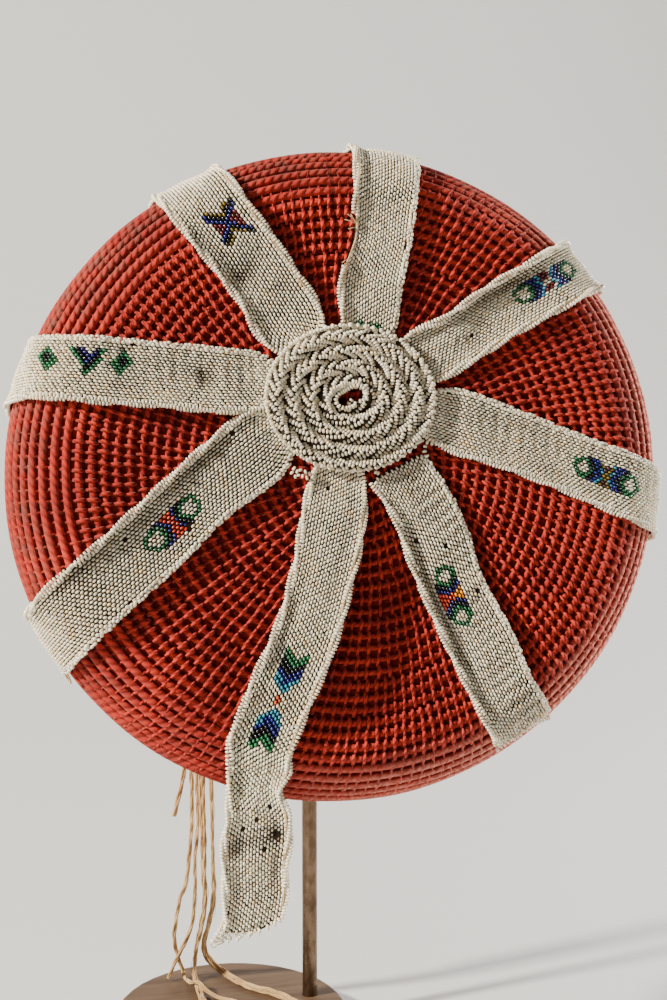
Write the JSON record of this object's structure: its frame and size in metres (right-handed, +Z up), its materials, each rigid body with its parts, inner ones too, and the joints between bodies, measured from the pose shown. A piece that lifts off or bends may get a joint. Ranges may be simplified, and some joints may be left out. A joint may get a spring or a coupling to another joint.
{
  "type": "isicholo hat on a display stand",
  "caption": "Wide flared hat of red cord with an open hollow behind, a beadwork rosette and beadwork strips over its top, tilted up on a rod in a round wooden base",
  "frame": {"origin": "Middle of the underside of the wooden base.", "axes": "+Z is up. The hat's top faces -Y and a little up, and its head opening faces +Y and a little down. +X is the hat's right as its top is seen."},
  "size_m": [0.3837, 0.213, 0.5561],
  "materials": {
    "red_cord": "coarse twisted cord rubbed with red ochre, matte",
    "white_beads": "opaque off-white glass seed beads, glossy, yellowed and stained in places",
    "plant_fibre": "two-ply plant fibre strand, matte",
    "aged_steel": "brown patina, satin",
    "dark_wood": "stained greyish brown, matte"
  },
  "bodies": {
    "root": {"hat_body": "red_cord", "rosette": "white_beads", "strip_upper_left": "white_beads", "strip_top": "white_beads", "strip_upper_right": "white_beads", "strip_right": "white_beads", "strip_lower_right": "white_beads", "strip_bottom": "white_beads", "strip_lower_left": "white_beads", "strip_left": "white_beads", "tie_cord_1": "plant_fibre", "tie_cord_2": "plant_fibre", "tie_cord_3": "plant_fibre", "tie_cord_4": "plant_fibre", "tie_cord_5": "plant_fibre", "stand_rod": "aged_steel", "stand_base": "dark_wood"}
  },
  "joints": []
}
